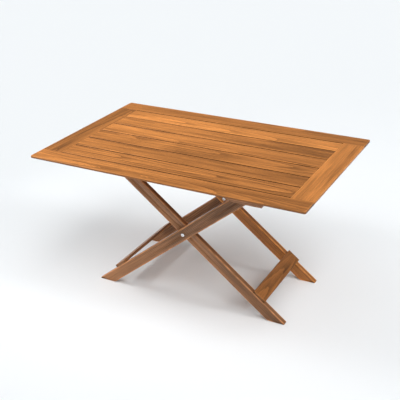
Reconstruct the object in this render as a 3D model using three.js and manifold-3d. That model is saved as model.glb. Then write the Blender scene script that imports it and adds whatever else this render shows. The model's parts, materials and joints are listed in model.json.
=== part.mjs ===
// Folding picnic table: a framed slatted top carried by two crossing leg frames.
// Millimetres, +Z up. The origin is on the floor under the middle of the top, +X runs along the
// top towards the hinged end, and -Y is the front. The outer leg frame is hinged to blocks under
// the right half of the top. The inner leg frame turns on the outer one at the middle pivots, and
// a steel rod at its upper end slides in slotted blocks under the left half.
import * as THREE from "three";
import { mergeVertices } from "three/addons/utils/BufferGeometryUtils.js";
import Module from "manifold-3d";

// Overall sizes
const TOP_LENGTH = 1200;
const TOP_WIDTH = 765;
const TABLE_HEIGHT = 628;

// Top: boards, frame and joints
const BOARD_THICKNESS = 20;
const EDGE_HEIGHT = 9; // upright part of the outer edge, above the under-bevel
const BEVEL_INSET = 40;
const CORNER_RADIUS = 8;
const ARRIS = 1.2; // easing of a sharp edge
const RAIL_WIDTH = 86;
const END_RAIL_WIDTH = 91;
const SLAT_COUNT = 6;
const SLAT_GAP = 6;
const TENON_THICKNESS = 8;
const TENON_WIDTH = 52;
const TENON_LENGTH = 35;
const TENON_SHOULDER = 8; // from the end rail's inner edge
const TONGUE_THICKNESS = 6;
const TONGUE_LENGTH = 9;
const BATTEN_WIDTH = 60;
const BATTEN_THICKNESS = 15;
const BATTEN_LAP = 24; // over the long rails

// Leg frames
const LEG_WIDTH = 50.5;
const LEG_THICKNESS = 23;
const LEG_ARRIS = 2;
const LEG_FRAME_WIDTH = 429; // over the outer faces of the outer legs
const OUTER_ANGLE = THREE.MathUtils.degToRad(38.9); // of the open outer legs to the floor
const INNER_ANGLE = THREE.MathUtils.degToRad(38.1);
const PIVOT_X = 15;
const PIVOT_HEIGHT = 323;
const HINGE_DROP = 76; // hinge axis below the top surface
const HEEL_EASE = 15; // rounding, as a length off each side of the corner
const TOE_EASE = 5; // flat across the sharp tip, as a length off each side
const END_EASE = 6; // corners of the inner legs' upper ends
const STRETCHER_WIDTH = 62;
const STRETCHER_THICKNESS = 12;
const STRETCHER_TOE_GAP = 126; // from the toe, along the leg's upper edge
const DOWEL_RADIUS = 4;
const DOWEL_LENGTH = 38;
const DOWEL_SPACING = 32;
const DOWEL_IN_STRETCHER = 8;

// Blocks under the top
const BLOCK_THICKNESS = 22;
const BLOCK_HEIGHT = 78;
const HINGE_BLOCK_RIGHT = 74; // from the hinge axis to the block's square end
const HINGE_BLOCK_STRAIGHT = 107; // straight stretch of its lower edge
const WOOD_PAST_SLOT = 30; // between the slot's open-table end and the block's square end
const WOOD_UNDER_SLOT = 10;
const SCREW_INSET = 10; // from a block's end

// Hardware
const BOLT_RADIUS = 4;
const BOLT_HEAD_RADIUS = 8;
const BOLT_HEAD_HEIGHT = 3.5;
const SOCKET_RADIUS = 2.9;
const SOCKET_DEPTH = 2.4;
const SLEEVE_RADIUS = 5.5;
const SLEEVE_HEAD_RADIUS = 8;
const SLEEVE_HEAD_HEIGHT = 2.5;
const SLEEVE_END_GAP = 4; // short of the face under the bolt's head
const BOLT_LENGTH = 28;
const WASHER_RADIUS = 11;
const WASHER_THICKNESS = 1;
const ROD_RADIUS = 6;
const ROD_SEAT_DEPTH = 4; // notch above the rod that holds the open table
const ROD_IN_LEG = 12;
const ROD_SCREW_RADIUS = 2.5;
const ROD_SCREW_HEAD_RADIUS = 5.5;
const ROD_SCREW_HEAD_HEIGHT = 3;
const ROD_SCREW_LENGTH = 24;
const SCREW_RADIUS = 2.5;
const SCREW_HEAD_RADIUS = 4.5;
const SCREW_HEAD_HEIGHT = 3;
const SCREW_LENGTH = 60;
const SCREW_IN_SLAT = 11;

// Clearances
const FIT = 0.3; // between faces that touch
const RUNNING = 0.5; // around the rod in its slot
const NESTING = 5; // round the outer stretcher when the frames fold into one plane

// Fineness of round shapes
const CORNER_STEPS = 4;
const ROUND_SIDES = 16;
const SOCKET_SIDES = 6;
const SCREW_DRIVE_SIDES = 4;
const ARC_STEPS = 8;
const PATH_STEPS = 16; // along the slots
const SAME_POINT = 0.01;
const OVERCUT = 1; // how far a cutting shape passes the face it cuts
const PATH_PROBE = 0.001; // step for the direction of a path

const WOOD = {
  top: 0xb06a35,
  frame: 0xa35f30,
  leg: 0x8a5a42,
  stretcher: 0x8a4f22,
  dowel: 0xc39a62,
};
const STEEL = 0xc4c4c6;

const wasm = await Module();
wasm.setup();

// ---------- places worked out from the sizes above ----------

const underTop = TABLE_HEIGHT - BOARD_THICKNESS;
const railInner = TOP_WIDTH / 2 - RAIL_WIDTH;
const endRailInner = TOP_LENGTH / 2 - END_RAIL_WIDTH;
const slatWidth = (2 * railInner - (SLAT_COUNT + 1) * SLAT_GAP) / SLAT_COUNT;
const slatPitch = slatWidth + SLAT_GAP;
const boardMiddle = TABLE_HEIGHT - BOARD_THICKNESS / 2;
const battenUnder = underTop - FIT - BATTEN_THICKNESS;
const battenLength = 2 * (railInner + BATTEN_LAP);

const halfLeg = LEG_WIDTH / 2;

// Places along a leg, measured from its middle pivot, for a frame that stands at one angle.
function alongLeg(angle) {
  const toe = (PIVOT_HEIGHT + halfLeg * Math.cos(angle)) / Math.sin(angle);
  const heel = (PIVOT_HEIGHT - halfLeg * Math.cos(angle)) / Math.sin(angle);
  const stretcherFar = toe - STRETCHER_TOE_GAP;
  return { angle, toe, heel, stretcherFar, stretcherNear: stretcherFar - STRETCHER_WIDTH };
}

const hingeZ = TABLE_HEIGHT - HINGE_DROP;
const outer = { label: "outer", towardsTop: 1, ...alongLeg(OUTER_ANGLE) };
const inner = { label: "inner", towardsTop: -1, ...alongLeg(INNER_ANGLE) };
outer.arm = (hingeZ - PIVOT_HEIGHT) / Math.sin(OUTER_ANGLE);
inner.arm = outer.stretcherNear - NESTING - halfLeg;
const hingeX = PIVOT_X + outer.arm * Math.cos(OUTER_ANGLE);

// Distances from the middle plane, for the front and the rear alike
const legGap = WASHER_THICKNESS + 2 * FIT;
outer.farY = LEG_FRAME_WIDTH / 2;
outer.nearY = outer.farY - LEG_THICKNESS;
inner.farY = outer.nearY - legGap;
inner.nearY = inner.farY - LEG_THICKNESS;
const hingeBlockInner = outer.farY + legGap;
const hingeBlockOuter = hingeBlockInner + BLOCK_THICKNESS;
const slideBlockOuter = inner.nearY - legGap;
const slideBlockInner = slideBlockOuter - BLOCK_THICKNESS;

// Where the rod is under the top, from folded flat at 0 to open at 1. The two frames swing
// opposite ways in step, so the path is close to a quarter of an ellipse about the hinge.
function rodAt(open) {
  const outerNow = OUTER_ANGLE * open;
  const innerNow = INNER_ANGLE * open;
  return new THREE.Vector2(
    hingeX - outer.arm * Math.cos(outerNow) - inner.arm * Math.cos(innerNow),
    hingeZ - outer.arm * Math.sin(outerNow) + inner.arm * Math.sin(innerNow),
  );
}

const openRod = rodAt(1);
const foldedRod = rodAt(0);
const slotHalf = ROD_RADIUS + RUNNING;
const slideBlockLeft = hingeX - outer.arm - outer.stretcherNear + NESTING;
const slideBlockRight = openRod.x + slotHalf + WOOD_PAST_SLOT;
const hingeBlockEnd = hingeX + HINGE_BLOCK_RIGHT;
const hingeBlockKnee = hingeBlockEnd - HINGE_BLOCK_STRAIGHT;
// The outermost screws of the blocks bite into the slats, which stop at the end rails.
const rightScrewX = Math.min(hingeBlockEnd, endRailInner) - SCREW_INSET;
const leftScrewX = Math.max(slideBlockLeft, -endRailInner) + SCREW_INSET;
const blockTop = underTop - FIT;
const hingeBlockUnder = blockTop - BLOCK_HEIGHT;

const rightBattenX = hingeX;
const leftBattenX = (foldedRod.x + openRod.x) / 2;
const middleBattenX = (leftBattenX + rightBattenX) / 2;

// The two ends of a stretch between two distances from the middle, on one side, lower end first.
function span(side, near, far) {
  return [side * near, side * far].sort((a, b) => a - b);
}

// ---------- solids ----------

function toSolid(geometry) {
  const plain = geometry.clone();
  plain.deleteAttribute("normal");
  plain.deleteAttribute("uv");
  const merged = mergeVertices(plain, 1e-4);
  return new wasm.Manifold(
    new wasm.Mesh({
      numProp: 3,
      vertProperties: merged.attributes.position.array,
      triVerts: new Uint32Array(merged.index.array),
    }),
  );
}

function toGeometry(solid) {
  const mesh = solid.getMesh();
  const geometry = new THREE.BufferGeometry();
  geometry.setAttribute("position", new THREE.BufferAttribute(mesh.vertProperties, 3));
  geometry.setIndex(new THREE.BufferAttribute(mesh.triVerts, 1));
  geometry.computeVertexNormals();
  return geometry;
}

function cut(geometry, tools) {
  const solid = tools.reduce((rest, tool) => rest.subtract(toSolid(tool)), toSolid(geometry));
  return toGeometry(solid);
}

function join(geometries) {
  return toGeometry(geometries.map(toSolid).reduce((sum, next) => sum.add(next)));
}

function common(a, b) {
  return toGeometry(toSolid(a).intersect(toSolid(b)));
}

// A plain box between two corners.
function boxBetween(low, high) {
  const size = high.map((value, axis) => value - low[axis]);
  const middle = high.map((value, axis) => (value + low[axis]) / 2);
  return new THREE.BoxGeometry(...size).translate(...middle);
}

// A board between two corners with every edge eased.
function easedBoard(low, high, ease = ARRIS) {
  const outline = new THREE.Shape([
    new THREE.Vector2(low[0], low[1]),
    new THREE.Vector2(high[0], low[1]),
    new THREE.Vector2(high[0], high[1]),
    new THREE.Vector2(low[0], high[1]),
  ]);
  return easedExtrusion(outline, high[2] - low[2], ease).translate(0, 0, low[2]);
}

// An outline as a closed run of points, no two of them in one place.
function distinctPoints(outline) {
  const points = outline.getPoints(ARC_STEPS);
  return points.filter((point, index) => {
    const next = points[(index + 1) % points.length];
    return point.distanceTo(next) > SAME_POINT;
  });
}

// An outline carried along +Z with its two rims eased, from 0 to the given depth.
function easedExtrusion(outline, depth, ease) {
  return new THREE.ExtrudeGeometry(new THREE.Shape(distinctPoints(outline)), {
    depth: depth - 2 * ease,
    bevelEnabled: ease > 0,
    bevelThickness: ease,
    bevelSize: ease,
    bevelOffset: -ease,
    bevelSegments: 2,
  }).translate(0, 0, ease);
}

// An outline drawn in X and Z, carried along Y from one distance to the next.
function plate(outline, fromY, toY, ease) {
  return easedExtrusion(outline, toY - fromY, ease)
    .rotateX(Math.PI / 2)
    .translate(0, toY, 0);
}

// A round bar along Y.
function bar(radius, fromY, toY, sides = ROUND_SIDES) {
  const length = toY - fromY;
  return new THREE.CylinderGeometry(radius, radius, length, sides).translate(0, fromY + length / 2, 0);
}

// A round bar along Z.
function post(radius, fromZ, toZ, sides = ROUND_SIDES) {
  return bar(radius, fromZ, toZ, sides).rotateX(Math.PI / 2);
}

// A round body about Y, from pairs of radius and distance along the axis.
function turned(pairs) {
  return new THREE.LatheGeometry(
    pairs.map(([radius, along]) => new THREE.Vector2(radius, along)),
    ROUND_SIDES,
  );
}

// A washer about Y, from one face to the other.
function washer(bore, fromY, toY) {
  return cut(bar(WASHER_RADIUS, fromY, toY), [bar(bore, fromY - OVERCUT, toY + OVERCUT)]);
}

// ---------- top ----------

// The whole top as one block: rounded corners, eased upper arris and the bevel underneath.
function topBlank() {
  const levels = [
    { z: underTop, inset: BEVEL_INSET },
    { z: TABLE_HEIGHT - EDGE_HEIGHT, inset: 0 },
    { z: TABLE_HEIGHT - ARRIS, inset: 0 },
    { z: TABLE_HEIGHT, inset: ARRIS },
  ];
  const ring = CORNER_STEPS * 4 + 4;
  const points = levels.flatMap(({ z, inset }) => roundedRectangle(inset, z));
  const faces = [];
  for (let level = 0; level < levels.length - 1; level++) {
    for (let i = 0; i < ring; i++) {
      const a = level * ring + i;
      const b = level * ring + ((i + 1) % ring);
      faces.push(a, b, b + ring, a, b + ring, a + ring);
    }
  }
  const last = (levels.length - 1) * ring;
  for (let i = 1; i < ring - 1; i++) {
    faces.push(0, i + 1, i, last, last + i, last + i + 1);
  }
  const geometry = new THREE.BufferGeometry();
  geometry.setAttribute("position", new THREE.Float32BufferAttribute(points, 3));
  geometry.setIndex(faces);
  return geometry;
}

function roundedRectangle(inset, z) {
  const halfX = TOP_LENGTH / 2 - inset - CORNER_RADIUS;
  const halfY = TOP_WIDTH / 2 - inset - CORNER_RADIUS;
  const points = [];
  for (let corner = 0; corner < 4; corner++) {
    const sideX = corner === 0 || corner === 3 ? 1 : -1;
    const sideY = corner < 2 ? 1 : -1;
    for (let step = 0; step <= CORNER_STEPS; step++) {
      const turn = ((corner + step / CORNER_STEPS) * Math.PI) / 2;
      const x = sideX * halfX + CORNER_RADIUS * Math.cos(turn);
      const y = sideY * halfY + CORNER_RADIUS * Math.sin(turn);
      points.push(x, y, z);
    }
  }
  return points;
}

const blank = topBlank();

// The tenon at one end of an end rail, or its mortise when slack is added all round.
function tenon(sideX, sideY, slack) {
  const shoulder = endRailInner + TENON_SHOULDER;
  const half = TENON_THICKNESS / 2 + slack;
  const xs = span(sideX, shoulder - slack, shoulder + TENON_WIDTH + slack);
  const ys = span(sideY, railInner - SLAT_GAP, railInner + TENON_LENGTH + slack);
  return boxBetween([xs[0], ys[0], boardMiddle - half], [xs[1], ys[1], boardMiddle + half]);
}

function longRail(side) {
  const ys = span(side, railInner, TOP_WIDTH);
  const strip = boxBetween([-TOP_LENGTH, ys[0], 0], [TOP_LENGTH, ys[1], TABLE_HEIGHT * 2]);
  return cut(common(blank, strip), [tenon(-1, side, FIT), tenon(1, side, FIT)]);
}

function endRail(side) {
  const xs = span(side, endRailInner, TOP_LENGTH);
  const halfY = railInner - FIT;
  const strip = boxBetween([xs[0], -halfY, 0], [xs[1], halfY, TABLE_HEIGHT * 2]);
  const body = join([common(blank, strip), tenon(side, -1, 0), tenon(side, 1, 0)]);
  const half = TONGUE_THICKNESS / 2 + FIT;
  const depth = endRailInner + TONGUE_LENGTH + FIT;
  const groove = span(side, endRailInner - OVERCUT, depth);
  const ends = slatPitch * (SLAT_COUNT / 2);
  return cut(body, [
    boxBetween([groove[0], -ends, boardMiddle - half], [groove[1], ends, boardMiddle + half]),
  ]);
}

function slat(index, holes) {
  const middle = slatPitch * ((SLAT_COUNT - 1) / 2 - index);
  const halfLength = endRailInner - FIT;
  const low = middle - slatWidth / 2;
  const high = middle + slatWidth / 2;
  const body = easedBoard([-halfLength, low, underTop], [halfLength, high, TABLE_HEIGHT]);
  const tongueEnd = endRailInner + TONGUE_LENGTH;
  const tongue = boxBetween(
    [-tongueEnd, low + ARRIS, boardMiddle - TONGUE_THICKNESS / 2],
    [tongueEnd, high - ARRIS, boardMiddle + TONGUE_THICKNESS / 2],
  );
  return cut(join([body, tongue]), holes);
}

function batten(x) {
  return easedBoard(
    [x - BATTEN_WIDTH / 2, -battenLength / 2, battenUnder],
    [x + BATTEN_WIDTH / 2, battenLength / 2, underTop - FIT],
  );
}

// ---------- blocks under the top ----------

// Square at the right, swept up in a quarter round at the left.
function hingeBlockOutline() {
  const outline = new THREE.Shape();
  outline.moveTo(hingeBlockEnd, blockTop);
  outline.lineTo(hingeBlockKnee - BLOCK_HEIGHT, blockTop);
  outline.absarc(hingeBlockKnee, blockTop, BLOCK_HEIGHT, Math.PI, Math.PI * 1.5, false);
  outline.lineTo(hingeBlockEnd, hingeBlockUnder);
  return outline;
}

// Points at one distance to either side of the rod's path, from the folded end to the open end.
function besideRodPath(distance) {
  const points = [];
  for (let step = 0; step <= PATH_STEPS; step++) {
    const open = step / PATH_STEPS;
    const along = rodAt(open + PATH_PROBE).sub(rodAt(open - PATH_PROBE)).normalize();
    points.push(rodAt(open).add(new THREE.Vector2(-along.y, along.x).multiplyScalar(distance)));
  }
  return points;
}

// Its lower edge follows the rod's path, so the wood under the slot has one depth.
function slideBlockOutline() {
  const depth = slotHalf + WOOD_UNDER_SLOT;
  const shallow = foldedRod.y - depth;
  const under = besideRodPath(-depth).filter((point) => point.y < shallow);
  const deep = under[under.length - 1].y;
  return new THREE.Shape([
    new THREE.Vector2(slideBlockRight, blockTop),
    new THREE.Vector2(slideBlockLeft, blockTop),
    new THREE.Vector2(slideBlockLeft, shallow),
    ...under,
    new THREE.Vector2(slideBlockRight, deep),
  ]);
}

// The slot that the rod slides in, with the seat above its open end that holds the open table.
function slotTools() {
  const from = -slideBlockOuter - WASHER_RADIUS;
  const to = slideBlockOuter + WASHER_RADIUS;
  const outline = new THREE.Shape([...besideRodPath(slotHalf), ...besideRodPath(-slotHalf).reverse()]);
  const through = plate(outline, from, to, 0);
  const ends = [foldedRod, openRod, openRod.clone().add(new THREE.Vector2(0, ROD_SEAT_DEPTH))];
  const rounds = ends.map((end) => bar(slotHalf, from, to).translate(end.x, 0, end.y));
  return [through, ...rounds];
}

// The housing that lets a block stand over a batten.
function battenHousing(x) {
  const half = BATTEN_WIDTH / 2 + FIT;
  return boxBetween([x - half, -TOP_WIDTH, battenUnder - FIT], [x + half, TOP_WIDTH, TABLE_HEIGHT]);
}

const screwHead = underTop + SCREW_IN_SLAT - SCREW_LENGTH;

// The stepped hole for a block screw, also cut in the slat above.
function screwHole(x, y) {
  const shank = post(SCREW_RADIUS + FIT, screwHead, screwHead + SCREW_LENGTH + FIT);
  const mouth = post(SCREW_HEAD_RADIUS + FIT, 0, screwHead + SCREW_HEAD_HEIGHT + FIT);
  return join([shank, mouth]).translate(x, y, 0);
}

function screw(x, y) {
  const body = turned([
    [0, 0],
    [SCREW_HEAD_RADIUS, 0],
    [SCREW_HEAD_RADIUS, ARRIS],
    [SCREW_RADIUS, SCREW_HEAD_HEIGHT],
    [SCREW_RADIUS, SCREW_LENGTH - 2 * SCREW_RADIUS],
    [0, SCREW_LENGTH],
  ]).rotateX(Math.PI / 2);
  const drive = post(SCREW_RADIUS, -SOCKET_DEPTH, SOCKET_DEPTH / 2, SCREW_DRIVE_SIDES);
  return cut(body, [drive]).translate(x, y, screwHead);
}

const blockMiddle = {
  hinge: (hingeBlockInner + hingeBlockOuter) / 2,
  slide: (slideBlockInner + slideBlockOuter) / 2,
};

// Every block screw: which block it holds, which end of it, and where it stands.
function screwPlaces(side) {
  return [
    { block: "hinge", end: "left", x: hingeBlockKnee - SCREW_INSET, y: side * blockMiddle.hinge },
    { block: "hinge", end: "right", x: rightScrewX, y: side * blockMiddle.hinge },
    { block: "slide", end: "left", x: leftScrewX, y: side * blockMiddle.slide },
    { block: "slide", end: "right", x: slideBlockRight - SCREW_INSET, y: side * blockMiddle.slide },
  ];
}

const screwHoles = [-1, 1].flatMap(screwPlaces).map(({ x, y }) => screwHole(x, y));

function hingeBlock(side) {
  const [from, to] = span(side, hingeBlockInner, hingeBlockOuter);
  const bore = bar(SLEEVE_RADIUS + FIT, from - OVERCUT, to + OVERCUT)
    .translate(hingeX, 0, hingeZ);
  return cut(plate(hingeBlockOutline(), from, to, LEG_ARRIS), [
    bore,
    battenHousing(rightBattenX),
    ...screwHoles,
  ]);
}

function slideBlock(side) {
  const [from, to] = span(side, slideBlockInner, slideBlockOuter);
  return cut(plate(slideBlockOutline(), from, to, ARRIS), [
    ...slotTools(),
    battenHousing(leftBattenX),
    ...screwHoles,
  ]);
}

// ---------- leg frames ----------
// Each frame is drawn with its middle pivot at the origin and its legs along X, and then turned.
// The top of a leg lies towards +X in the outer frame and towards -X in the inner one.

// From the upper end's lower corner along the leg to the foot, which is cut level with the floor.
function legOutline({ towardsTop, toe, heel, arm }, upperEnd) {
  const along = (distance) => towardsTop * distance;
  const footCut = Math.hypot(toe - heel, LEG_WIDTH);
  const slopeX = (toe - heel) / footCut;
  const slopeZ = LEG_WIDTH / footCut;
  const outline = new THREE.Shape();
  outline.moveTo(along(arm), halfLeg);
  outline.lineTo(along(-toe + TOE_EASE), halfLeg);
  outline.lineTo(along(-toe + slopeX * TOE_EASE), halfLeg - slopeZ * TOE_EASE);
  outline.lineTo(along(-heel - slopeX * HEEL_EASE), -halfLeg + slopeZ * HEEL_EASE);
  outline.quadraticCurveTo(along(-heel), -halfLeg, along(-heel + HEEL_EASE), -halfLeg);
  outline.lineTo(along(arm), -halfLeg);
  upperEnd(outline, along(arm));
  return outline;
}

// A half round about the hinge, on the outer legs.
function roundEnd(outline, x) {
  outline.absarc(x, 0, halfLeg, -Math.PI / 2, Math.PI / 2, false);
}

// A square end with its corners eased, on the inner legs.
function squareEnd(outline, x) {
  const end = x - halfLeg;
  outline.lineTo(end + END_EASE, -halfLeg);
  outline.quadraticCurveTo(end, -halfLeg, end, -halfLeg + END_EASE);
  outline.lineTo(end, halfLeg - END_EASE);
  outline.quadraticCurveTo(end, halfLeg, end + END_EASE, halfLeg);
}

// A dowel from the leg up into the stretcher, or its hole when slack is added.
function dowel(x, y, slack) {
  const top = halfLeg + FIT + DOWEL_IN_STRETCHER;
  return post(DOWEL_RADIUS + slack, top - DOWEL_LENGTH - slack, top + slack).translate(x, y, 0);
}

function dowelPlaces({ towardsTop, stretcherNear, stretcherFar, nearY, farY }, side) {
  const middle = (stretcherNear + stretcherFar) / 2;
  const y = (side * (nearY + farY)) / 2;
  return [-1, 1].map((end) => ({ x: -towardsTop * middle + (end * DOWEL_SPACING) / 2, y }));
}

function dowelHoles(frame, side) {
  return dowelPlaces(frame, side).map(({ x, y }) => dowel(x, y, FIT));
}

function stretcher(frame) {
  const { towardsTop, stretcherNear, stretcherFar, farY } = frame;
  const [low, high] = span(-towardsTop, stretcherNear, stretcherFar);
  const under = halfLeg + FIT;
  const board = easedBoard([low, -farY, under], [high, farY, under + STRETCHER_THICKNESS]);
  return cut(board, [-1, 1].flatMap((side) => dowelHoles(frame, side)));
}

// The hole for the sleeve of a pivot or hinge, through the thickness of one leg.
function sleeveHole([from, to], x) {
  return bar(SLEEVE_RADIUS + FIT, from - OVERCUT, to + OVERCUT).translate(x, 0, 0);
}

function outerLeg(side) {
  const thickness = span(side, outer.nearY, outer.farY);
  const seat = span(side, outer.nearY - OVERCUT, outer.nearY + SLEEVE_HEAD_HEIGHT + FIT);
  return cut(plate(legOutline(outer, roundEnd), ...thickness, LEG_ARRIS), [
    sleeveHole(thickness, 0),
    sleeveHole(thickness, outer.arm),
    bar(SLEEVE_HEAD_RADIUS + FIT, ...seat).translate(outer.arm, 0, 0),
    ...dowelHoles(outer, side),
  ]);
}

function innerLeg(side) {
  const thickness = span(side, inner.nearY, inner.farY);
  const socket = span(side, inner.nearY - OVERCUT, inner.nearY + ROD_IN_LEG + FIT);
  const seat = span(side, inner.farY - ROD_SCREW_HEAD_HEIGHT - FIT, inner.farY + OVERCUT);
  const rodEnd = [
    bar(ROD_RADIUS + FIT, ...socket),
    bar(ROD_SCREW_RADIUS + FIT, ...thickness),
    bar(ROD_SCREW_HEAD_RADIUS + FIT, ...seat),
  ].map((hole) => hole.translate(-inner.arm, 0, 0));
  return cut(plate(legOutline(inner, squareEnd), ...thickness, LEG_ARRIS), [
    sleeveHole(thickness, 0),
    ...rodEnd,
    ...dowelHoles(inner, side),
  ]);
}

// A bolt about Y with its head's seat at zero: the head lies towards +Y and the shank towards -Y.
function bolt(length) {
  const body = turned([
    [0, -length],
    [BOLT_RADIUS, -length],
    [BOLT_RADIUS, 0],
    [BOLT_HEAD_RADIUS, 0],
    [BOLT_HEAD_RADIUS, BOLT_HEAD_HEIGHT - ARRIS],
    [BOLT_HEAD_RADIUS - ARRIS, BOLT_HEAD_HEIGHT],
    [0, BOLT_HEAD_HEIGHT],
  ]);
  const socketFloor = BOLT_HEAD_HEIGHT - SOCKET_DEPTH;
  return cut(body, [bar(SOCKET_RADIUS, socketFloor, BOLT_HEAD_HEIGHT + OVERCUT, SOCKET_SIDES)]);
}

// A sleeve nut about Y with its head's seat at zero: the head lies towards -Y.
function sleeveNut(length) {
  const body = turned([
    [0, -SLEEVE_HEAD_HEIGHT],
    [SLEEVE_HEAD_RADIUS - ARRIS, -SLEEVE_HEAD_HEIGHT],
    [SLEEVE_HEAD_RADIUS, ARRIS - SLEEVE_HEAD_HEIGHT],
    [SLEEVE_HEAD_RADIUS, 0],
    [SLEEVE_RADIUS, 0],
    [SLEEVE_RADIUS, length],
    [0, length],
  ]);
  return cut(body, [bar(BOLT_RADIUS + FIT, SOCKET_DEPTH, length + OVERCUT)]);
}

// Turns a piece made for the rear round to the front where the side asks for it.
function facing(side, geometry) {
  return side > 0 ? geometry : geometry.rotateZ(Math.PI);
}

function slideRod() {
  const end = inner.nearY + ROD_IN_LEG;
  const holes = [-1, 1].map((side) => {
    const tapped = span(side, end - ROD_SCREW_LENGTH, end + OVERCUT);
    return bar(ROD_SCREW_RADIUS + FIT, ...tapped);
  });
  return cut(bar(ROD_RADIUS, -end, end), holes);
}

// A flush screw about Y with the outer face of its head at zero and its shank towards -Y.
function rodScrew() {
  const body = turned([
    [0, -ROD_SCREW_LENGTH],
    [ROD_SCREW_RADIUS, -ROD_SCREW_LENGTH],
    [ROD_SCREW_RADIUS, -ROD_SCREW_HEAD_HEIGHT],
    [ROD_SCREW_HEAD_RADIUS, -ROD_SCREW_HEAD_HEIGHT],
    [ROD_SCREW_HEAD_RADIUS, 0],
    [0, 0],
  ]);
  return cut(body, [bar(ROD_SCREW_RADIUS / 2, -SOCKET_DEPTH, OVERCUT, SOCKET_SIDES)]);
}

// ---------- scene ----------

function piece(name, geometry, colour, x = 0, y = 0, z = 0) {
  const steel = colour === STEEL;
  const material = new THREE.MeshStandardMaterial({
    color: colour,
    roughness: steel ? 0.25 : 0.55,
    metalness: steel ? 1 : 0,
  });
  const mesh = new THREE.Mesh(geometry, material);
  mesh.name = name;
  mesh.position.set(x, y, z);
  return mesh;
}

const sides = [
  { side: -1, label: "front" },
  { side: 1, label: "rear" },
];

function topPieces() {
  const slats = Array.from({ length: SLAT_COUNT }, (_, index) =>
    piece(`slat_${index + 1}`, slat(index, screwHoles), WOOD.top),
  );
  const rails = sides.map(({ side, label }) => piece(`rail_${label}`, longRail(side), WOOD.frame));
  const battens = [
    piece("batten_left", batten(leftBattenX), WOOD.frame),
    piece("batten_middle", batten(middleBattenX), WOOD.frame),
    piece("batten_right", batten(rightBattenX), WOOD.frame),
  ];
  return [
    ...slats,
    ...rails,
    piece("end_rail_left", endRail(-1), WOOD.frame),
    piece("end_rail_right", endRail(1), WOOD.frame),
    ...battens,
    ...sides.flatMap(blockPieces),
  ];
}

function blockPieces({ side, label }) {
  const screws = screwPlaces(side).map(({ block, end, x, y }) =>
    piece(`${block}_block_screw_${label}_${end}`, screw(x, y), STEEL),
  );
  return [
    piece(`hinge_block_${label}`, hingeBlock(side), WOOD.leg),
    piece(`slide_block_${label}`, slideBlock(side), WOOD.leg),
    ...screws,
  ];
}

// The stretcher of a frame with the dowels that hold it.
function stretcherPieces(frame) {
  const dowels = sides.flatMap(({ side, label }) =>
    dowelPlaces(frame, side).map(({ x, y }, index) =>
      piece(`dowel_${frame.label}_${label}_${index + 1}`, dowel(x, y, 0), WOOD.dowel),
    ),
  );
  return [piece(`stretcher_${frame.label}`, stretcher(frame), WOOD.stretcher), ...dowels];
}

// A leg of the outer frame with its middle pivot and its hinge, which turn with it.
function outerSide({ side, label }) {
  const pivotSleeve = 2 * LEG_THICKNESS + legGap + FIT - SLEEVE_END_GAP;
  const hingeSeat = outer.nearY + SLEEVE_HEAD_HEIGHT;
  const hingeSleeve = hingeBlockOuter - hingeSeat - SLEEVE_END_GAP;
  const washerAt = (near) => washer(SLEEVE_RADIUS + FIT, ...span(side, near + FIT, near + legGap - FIT));
  const pivot = [
    { name: "bolt", geometry: facing(side, bolt(BOLT_LENGTH)), y: outer.farY + FIT },
    { name: "nut", geometry: facing(side, sleeveNut(pivotSleeve)), y: inner.nearY - FIT },
    { name: "washer", geometry: washerAt(inner.farY), y: 0 },
  ];
  const hinge = [
    { name: "bolt", geometry: facing(side, bolt(BOLT_LENGTH)), y: hingeBlockOuter + FIT },
    { name: "nut", geometry: facing(side, sleeveNut(hingeSleeve)), y: hingeSeat },
    { name: "washer", geometry: washerAt(outer.farY), y: 0 },
  ];
  const fittings = (kind, x, list) =>
    list.map(({ name, geometry, y }) => piece(`${kind}_${name}_${label}`, geometry, STEEL, x, side * y));
  return [
    piece(`leg_outer_${label}`, outerLeg(side), WOOD.leg),
    ...fittings("pivot", 0, pivot),
    ...fittings("hinge", outer.arm, hinge),
  ];
}

// A leg of the inner frame with what holds its end of the rod.
function innerSide({ side, label }) {
  const ring = span(side, slideBlockOuter + FIT, inner.nearY - FIT);
  return [
    piece(`leg_inner_${label}`, innerLeg(side), WOOD.leg),
    piece(`rod_screw_${label}`, facing(side, rodScrew()), STEEL, -inner.arm, side * inner.farY),
    piece(`rod_washer_${label}`, washer(ROD_RADIUS + FIT, ...ring), STEEL, -inner.arm),
  ];
}

function frameGroup({ towardsTop, angle }, pieces) {
  const group = new THREE.Group();
  group.position.set(PIVOT_X, 0, PIVOT_HEIGHT);
  group.rotation.y = -towardsTop * angle;
  group.add(...pieces);
  return group;
}

const outerFrame = frameGroup(outer, [...sides.flatMap(outerSide), ...stretcherPieces(outer)]);

const innerFrame = frameGroup(inner, [
  ...sides.flatMap(innerSide),
  ...stretcherPieces(inner),
  piece("slide_rod", slideRod(), STEEL, -inner.arm),
]);

const table = new THREE.Group();
table.add(...topPieces(), outerFrame, innerFrame);

export default table;
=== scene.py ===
# Folding picnic table: finished boards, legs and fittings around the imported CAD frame.
# Metres, +Z up, in the CAD's own frame: +X runs along the top, and -Y is the front.
import json
import math

import bpy
import numpy as np
from mathutils import Matrix, Vector
from mathutils.geometry import tessellate_polygon


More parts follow.
